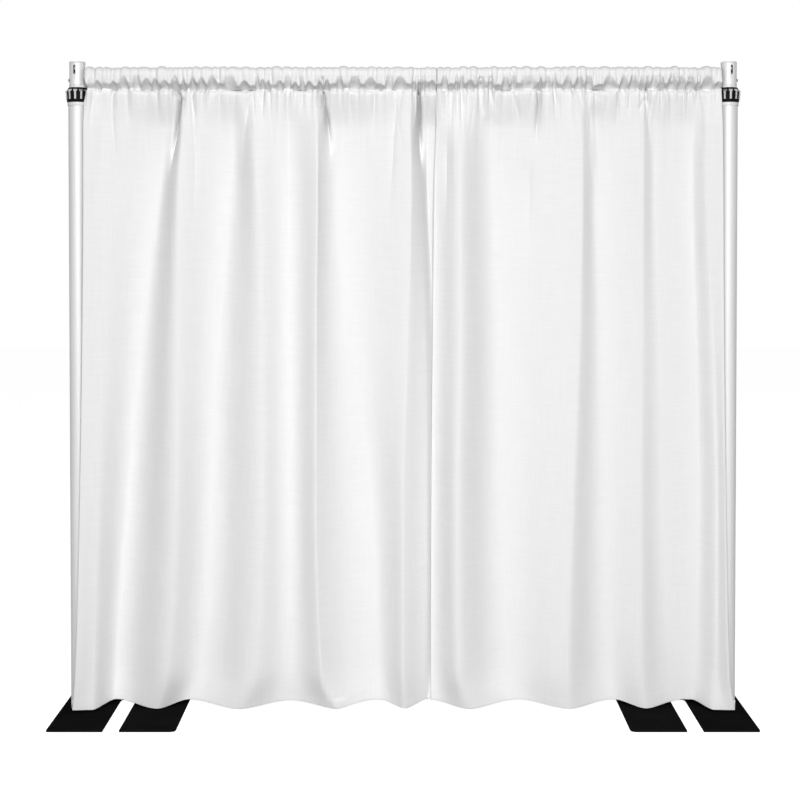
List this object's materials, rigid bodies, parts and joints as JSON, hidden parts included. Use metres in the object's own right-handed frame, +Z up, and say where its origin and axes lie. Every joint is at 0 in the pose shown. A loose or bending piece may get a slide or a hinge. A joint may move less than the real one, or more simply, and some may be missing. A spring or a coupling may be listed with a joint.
{
  "type": "pipe and drape backdrop",
  "caption": "Free-standing backdrop: telescopic uprights on slotted steel base plates carry a telescopic crossbar with gathered white drape panels on rod pockets.",
  "frame": {"origin": "on the floor, midway between the uprights", "axes": "+X along the crossbar to the right as seen from the front, -Y towards the front, +Z up"},
  "size_m": [1.9304, 0.4, 1.829],
  "materials": {
    "black_steel": "semi-matte black powder coat",
    "zinc_steel": "zinc plated",
    "satin_aluminium": "satin anodised, drawn lengthways",
    "pale_nylon": "satin moulded nylon",
    "black_plastic": "satin moulded plastic",
    "white_cloth": "plain woven polyester, matt"
  },
  "bodies": {
    "head_left": {"upper_tube_left": "satin_aluminium", "guide_bush_left": "pale_nylon", "slotted_head_left": "satin_aluminium", "head_plug_left": "pale_nylon", "stop_rivet_outer_left": "zinc_steel", "stop_rivet_inner_left": "zinc_steel"},
    "head_right": {"upper_tube_right": "satin_aluminium", "guide_bush_right": "pale_nylon", "slotted_head_right": "satin_aluminium", "head_plug_right": "pale_nylon", "stop_rivet_outer_right": "zinc_steel", "stop_rivet_inner_right": "zinc_steel"},
    "bar_outer": {"bar_outer_tube": "satin_aluminium", "bar_bush": "pale_nylon", "bar_plug_left": "pale_nylon", "bar_hook_left": "zinc_steel", "hook_pin_left": "zinc_steel", "drape_left": "white_cloth"},
    "bar_inner": {"bar_inner_tube": "satin_aluminium", "bar_plug_right": "pale_nylon", "bar_hook_right": "zinc_steel", "hook_pin_right": "zinc_steel", "drape_right": "white_cloth"},
    "post_left": {"lower_tube_left": "satin_aluminium", "seat_sleeve_left": "pale_nylon", "clutch_bush_left": "pale_nylon"},
    "post_right": {"lower_tube_right": "satin_aluminium", "seat_sleeve_right": "pale_nylon", "clutch_bush_right": "pale_nylon"},
    "lock_left": {"lock_ring_left": "black_plastic"},
    "lock_right": {"lock_ring_right": "black_plastic"},
    "pin_left": {"base_pin_left": "zinc_steel", "base_screw_left": "zinc_steel"},
    "pin_right": {"base_pin_right": "zinc_steel", "base_screw_right": "zinc_steel"},
    "foot_left": {"base_plate_left": "black_steel"},
    "foot_right": {"base_plate_right": "black_steel"}
  },
  "joints": [
    {"name": "crossbar_telescope", "type": "slide", "parent": "head_left", "child": "head_right", "axis": [1, 0, 0], "range_m": [0, 1.219]},
    {"name": "bar_lift_left", "type": "slide", "parent": "head_left", "child": "bar_outer", "axis": [0, 0, 1], "range_m": [0, 0.011]},
    {"name": "bar_lift_right", "type": "slide", "parent": "head_right", "child": "bar_inner", "axis": [0, 0, 1], "range_m": [0, 0.011]},
    {"name": "upright_telescope_left", "type": "slide", "parent": "head_left", "child": "post_left", "axis": [0, 0, -1], "range_m": [0, 1.219]},
    {"name": "upright_telescope_right", "type": "slide", "parent": "head_right", "child": "post_right", "axis": [0, 0, -1], "range_m": [0, 1.219]},
    {"name": "lock_turn_left", "type": "hinge", "parent": "post_left", "child": "lock_left", "pos_m": [-0.9144, 0, 1.735], "axis": [0, 0, 1], "range_deg": [0, 60]},
    {"name": "lock_turn_right", "type": "hinge", "parent": "post_right", "child": "lock_right", "pos_m": [0.9144, 0, 1.735], "axis": [0, 0, 1], "range_deg": [0, 60]},
    {"name": "pin_release_left", "type": "slide", "parent": "post_left", "child": "pin_left", "axis": [0, 0, -1], "range_m": [0, 0.17]},
    {"name": "pin_release_right", "type": "slide", "parent": "post_right", "child": "pin_right", "axis": [0, 0, -1], "range_m": [0, 0.17]},
    {"name": "foot_swivel_left", "type": "hinge", "parent": "pin_left", "child": "foot_left", "pos_m": [-0.9144, 0, 0.0025], "axis": [0, 0, 1], "continuous": true},
    {"name": "foot_swivel_right", "type": "hinge", "parent": "pin_right", "child": "foot_right", "pos_m": [0.9144, 0, 0.0025], "axis": [0, 0, 1], "continuous": true}
  ],
  "couplings": [
    {"joint": "bar_lift_right", "follows": "bar_lift_left", "ratio": 1},
    {"joint": "upright_telescope_right", "follows": "upright_telescope_left", "ratio": 1}
  ]
}
